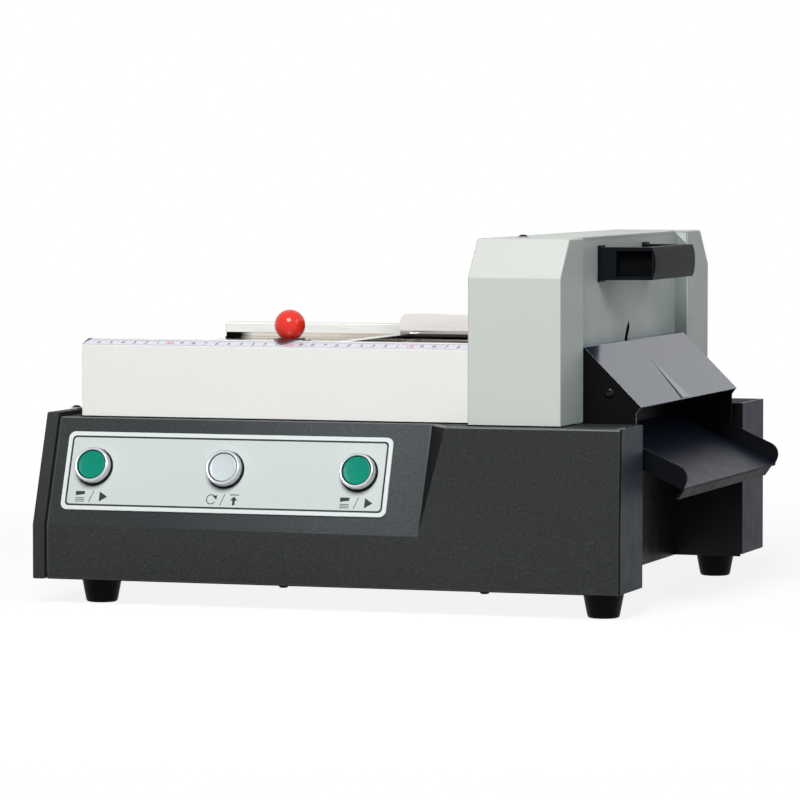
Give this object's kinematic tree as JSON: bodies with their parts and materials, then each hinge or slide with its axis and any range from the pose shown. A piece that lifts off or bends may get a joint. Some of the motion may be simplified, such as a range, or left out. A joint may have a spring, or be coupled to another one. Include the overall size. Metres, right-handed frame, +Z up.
{
  "type": "electric paper cutter",
  "caption": "Bench paper cutter with a slanted button panel, feed table with sliding back gauge and ball knob, powered blade head, outlet hood and catch tray.",
  "frame": {"origin": "middle of the footprint box, on the floor under the feet", "axes": "+X along the feed table towards the outlet, +Y from the control panel to the rear cover, +Z up"},
  "size_m": [0.514, 0.464, 0.294],
  "materials": {
    "dark_cover": "textured satin paint",
    "flank_paint": "satin paint",
    "black_sheet": "gloss black paint",
    "plate_steel": "plain",
    "bright_steel": "polished",
    "carrier_steel": "satin",
    "foot_rubber": "matt",
    "screw_black": "satin",
    "screw_bright": "plain",
    "label": "satin film",
    "bezel_metal": "satin",
    "inner_plastic": "moulded",
    "green_cap": "moulded",
    "clear_cap": "moulded",
    "table_white": "satin paint",
    "ruler_face": "printed film",
    "fence_metal": "anodised",
    "ball_red": "moulded",
    "stick_plastic": "plain",
    "head_grey": "satin paint",
    "handle_black": "moulded",
    "nut_brass": "plain",
    "motor_paint": "satin",
    "board_green": "plain",
    "supply_case": "plain"
  },
  "bodies": {
    "machine": {"front_cover": "dark_cover", "left_end_cap": "dark_cover", "top_deck": "dark_cover", "rear_cover": "dark_cover", "right_front_flank": "flank_paint", "right_rear_flank": "flank_paint", "catch_tray": "flank_paint", "recess_back_wall": "black_sheet", "chute_hood": "black_sheet", "bottom_plate": "plate_steel", "bed_beam": "plate_steel", "front_side_frame": "plate_steel", "rear_side_frame": "plate_steel", "top_beam": "plate_steel", "screw_bearings": "plate_steel", "guide_rail": "plate_steel", "motor_bracket": "plate_steel", "bed_plate": "bright_steel", "guide_columns": "bright_steel", "rubber_feet": "foot_rubber", "drive_belt": "foot_rubber", "base_screws": "screw_black", "cover_screws": "screw_black", "foot_screws": "screw_bright", "handle_screws": "screw_bright", "hood_screws": "screw_bright", "label_plate": "label", "button_bezels": "bezel_metal", "contact_blocks": "inner_plastic", "power_inlet": "inner_plastic", "switch_frame": "inner_plastic", "feed_table": "table_white", "ruler_bar": "ruler_face", "rear_fence": "fence_metal", "cutting_stick": "stick_plastic", "head_front_cover": "head_grey", "head_rear_cover": "head_grey", "head_top_cover": "head_grey", "head_side_panel": "head_grey", "carry_handle": "handle_black", "gear_motor": "motor_paint", "control_board": "board_green", "power_supply": "supply_case"},
    "blade_unit": {"blade_carrier": "carrier_steel", "drive_nuts": "nut_brass", "blade": "bright_steel", "blade_bolts": "screw_black"},
    "clamp_unit": {"clamp_bar": "carrier_steel", "clamp_springs": "bright_steel"},
    "front_screw": {"lead_screw_front": "bright_steel"},
    "rear_screw": {"lead_screw_rear": "bright_steel"},
    "motor_rotor": {"motor_pulley": "bright_steel"},
    "gauge": {"gauge_arm": "flank_paint", "pointer_plate": "carrier_steel", "gauge_shoe": "bright_steel"},
    "knob": {"ball_knob": "ball_red"},
    "left_cap": {"cut_button_left": "green_cap"},
    "middle_cap": {"reset_button": "clear_cap"},
    "right_cap": {"cut_button_right": "green_cap"},
    "rocker": {"power_rocker": "inner_plastic"}
  },
  "joints": [
    {"name": "blade_slide", "type": "slide", "parent": "machine", "child": "blade_unit", "axis": [0, 0, -1], "range_m": [0, 0.0375]},
    {"name": "clamp_slide", "type": "slide", "parent": "machine", "child": "clamp_unit", "axis": [0, 0, -1], "range_m": [0, 0.0361], "deforming": ["clamp_springs"]},
    {"name": "front_screw_spin", "type": "hinge", "parent": "machine", "child": "front_screw", "pos_m": [0.149, -0.1625, 0.042], "axis": [0, 0, 1], "range_deg": [0, 1351]},
    {"name": "rear_screw_spin", "type": "hinge", "parent": "machine", "child": "rear_screw", "pos_m": [0.149, 0.1705, 0.042], "axis": [0, 0, 1], "range_deg": [0, 1351]},
    {"name": "motor_spin", "type": "hinge", "parent": "machine", "child": "motor_rotor", "pos_m": [0.074, 0.004, 0.042], "axis": [0, 0, 1], "range_deg": [0, 1351]},
    {"name": "gauge_slide", "type": "slide", "parent": "machine", "child": "gauge", "axis": [1, 0, 0], "range_m": [-0.135, 0.095]},
    {"name": "knob_turn", "type": "hinge", "parent": "gauge", "child": "knob", "pos_m": [-0.062, -0.1705, 0.222], "axis": [0, 0, 1], "range_deg": [0, 270]},
    {"name": "left_cut_press", "type": "slide", "parent": "machine", "child": "left_cap", "axis": [0, 0.94, -0.3413], "range_m": [0, 0.004], "stiffness_N_per_m": 600, "springref_m": -0.002},
    {"name": "reset_press", "type": "slide", "parent": "machine", "child": "middle_cap", "axis": [0, 0.94, -0.3413], "range_m": [0, 0.004], "stiffness_N_per_m": 600, "springref_m": -0.002},
    {"name": "right_cut_press", "type": "slide", "parent": "machine", "child": "right_cap", "axis": [0, 0.94, -0.3413], "range_m": [0, 0.004], "stiffness_N_per_m": 600, "springref_m": -0.002},
    {"name": "rocker_tilt", "type": "hinge", "parent": "machine", "child": "rocker", "pos_m": [-0.106, 0.2265, 0.07], "axis": [1, 0, 0], "range_deg": [0, 16]}
  ],
  "couplings": [
    {"joint": "clamp_slide", "follows": "blade_slide", "ratio": 0.96},
    {"joint": "front_screw_spin", "follows": "blade_slide", "rad_per_m": 628.32},
    {"joint": "rear_screw_spin", "follows": "blade_slide", "rad_per_m": 628.32},
    {"joint": "motor_spin", "follows": "blade_slide", "rad_per_m": 628.32}
  ]
}
